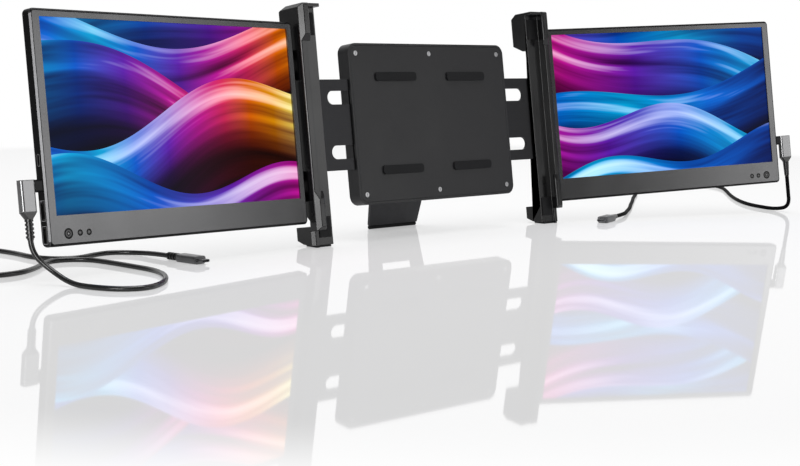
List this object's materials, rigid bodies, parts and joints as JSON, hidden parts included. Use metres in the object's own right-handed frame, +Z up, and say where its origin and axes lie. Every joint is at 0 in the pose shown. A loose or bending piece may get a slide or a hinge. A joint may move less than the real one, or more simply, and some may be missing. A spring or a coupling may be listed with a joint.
{
  "type": "laptop screen extender",
  "caption": "Dual portable monitors on a telescopic clip-on bracket for a laptop lid, with friction hinges, a kickstand and plugged-in USB-C cables.",
  "frame": {"origin": "on the desk, under the middle of the bracket and monitors (without the cables)", "axes": "+X along the laptop's lid to the user's right, +Y away from the user, +Z up"},
  "size_m": [1.1437, 0.3303, 0.2087],
  "materials": {
    "frame_plastic": "fine matt",
    "case_metal": "dark anodised",
    "bezel_plastic": "matt grey",
    "screen_glass": "glossy",
    "board": "satin",
    "steel": "brushed",
    "dark_steel": "satin dark",
    "aluminium": "satin",
    "button_plastic": "satin",
    "rubber_black": "matt",
    "cable_black": "satin",
    "stand_metal": "powder coated"
  },
  "bodies": {
    "housing": {"housing_front_plate": "frame_plastic", "housing_rear_cover": "frame_plastic", "housing_screws": "steel", "lid_pads": "rubber_black", "upper_guide_rail": "aluminium", "lower_guide_rail": "aluminium", "left_slide_spring": "steel", "right_slide_spring": "steel"},
    "kickstand": {"kickstand_plate": "stand_metal", "kickstand_foot": "rubber_black", "kickstand_pin": "steel"},
    "left_bracket": {"left_grip_frame": "frame_plastic", "left_grip_pads": "rubber_black", "left_foot_pad": "rubber_black", "left_slide_plate": "dark_steel", "left_bracket_screws": "steel", "left_hinge_frame_leaves": "dark_steel"},
    "left_monitor": {"left_front_bezel": "bezel_plastic", "left_rear_case": "case_metal", "left_display_panel": "screen_glass", "left_main_board": "board", "left_board_screws": "steel", "left_usb_c_sockets": "steel", "left_hdmi_socket": "steel", "left_usb_a_socket": "steel", "left_hinge_monitor_leaves": "dark_steel", "left_hinge_pins": "steel", "left_angled_plug": "aluminium", "left_plug_boot": "rubber_black", "left_usb_c_cable": "cable_black", "left_far_boot": "rubber_black", "left_far_plug": "aluminium"},
    "left_power_button": {"left_power_button": "button_plastic"},
    "left_menu_button": {"left_menu_button": "button_plastic"},
    "left_select_button": {"left_select_button": "button_plastic"},
    "right_bracket": {"right_grip_frame": "frame_plastic", "right_grip_pads": "rubber_black", "right_foot_pad": "rubber_black", "right_slide_plate": "dark_steel", "right_bracket_screws": "steel", "right_hinge_frame_leaves": "dark_steel"},
    "right_monitor": {"right_front_bezel": "bezel_plastic", "right_rear_case": "case_metal", "right_display_panel": "screen_glass", "right_main_board": "board", "right_board_screws": "steel", "right_usb_c_sockets": "steel", "right_hdmi_socket": "steel", "right_usb_a_socket": "steel", "right_hinge_monitor_leaves": "dark_steel", "right_hinge_pins": "steel", "right_angled_plug": "aluminium", "right_plug_boot": "rubber_black", "right_usb_c_cable": "cable_black", "right_far_boot": "rubber_black", "right_far_plug": "aluminium"},
    "right_power_button": {"right_power_button": "button_plastic"},
    "right_menu_button": {"right_menu_button": "button_plastic"},
    "right_select_button": {"right_select_button": "button_plastic"}
  },
  "joints": [
    {"name": "kickstand_hinge", "type": "hinge", "parent": "housing", "child": "kickstand", "pos_m": [0.00662, 0.05045, 0.15042], "axis": [1, 0, 0], "range_deg": [-19.15, 0]},
    {"name": "left_slide", "type": "slide", "parent": "housing", "child": "left_bracket", "axis": [-1, 0, 0], "range_m": [0, 0.045], "stiffness_N_per_m": 150, "springref_m": -0.05, "deforming": ["left_slide_spring"]},
    {"name": "left_monitor_hinge", "type": "hinge", "parent": "left_bracket", "child": "left_monitor", "pos_m": [-0.16068, 0.02534, 0.1035], "axis": [0, 0.1418, 0.9899], "range_deg": [-97.26, 57.74], "deforming": ["left_usb_c_cable"]},
    {"name": "left_power_press", "type": "slide", "parent": "left_monitor", "child": "left_power_button", "axis": [-0.1264, 0.982, -0.1406], "range_m": [0, 0.0004], "stiffness_N_per_m": 800, "springref_m": -0.0008},
    {"name": "left_menu_press", "type": "slide", "parent": "left_monitor", "child": "left_menu_button", "axis": [-0.1264, 0.982, -0.1406], "range_m": [0, 0.0004], "stiffness_N_per_m": 800, "springref_m": -0.0008},
    {"name": "left_select_press", "type": "slide", "parent": "left_monitor", "child": "left_select_button", "axis": [-0.1264, 0.982, -0.1406], "range_m": [0, 0.0004], "stiffness_N_per_m": 800, "springref_m": -0.0008},
    {"name": "right_slide", "type": "slide", "parent": "housing", "child": "right_bracket", "axis": [1, 0, 0], "range_m": [0, 0.045], "stiffness_N_per_m": 150, "springref_m": -0.05, "deforming": ["right_slide_spring"]},
    {"name": "right_monitor_hinge", "type": "hinge", "parent": "right_bracket", "child": "right_monitor", "pos_m": [0.17392, 0.02534, 0.1035], "axis": [0, 0.1418, 0.9899], "range_deg": [-45.09, 109.91], "deforming": ["right_usb_c_cable"]},
    {"name": "right_power_press", "type": "slide", "parent": "right_monitor", "child": "right_power_button", "axis": [0.3405, 0.9307, -0.1333], "range_m": [0, 0.0004], "stiffness_N_per_m": 800, "springref_m": -0.0008},
    {"name": "right_menu_press", "type": "slide", "parent": "right_monitor", "child": "right_menu_button", "axis": [0.3405, 0.9307, -0.1333], "range_m": [0, 0.0004], "stiffness_N_per_m": 800, "springref_m": -0.0008},
    {"name": "right_select_press", "type": "slide", "parent": "right_monitor", "child": "right_select_button", "axis": [0.3405, 0.9307, -0.1333], "range_m": [0, 0.0004], "stiffness_N_per_m": 800, "springref_m": -0.0008}
  ]
}
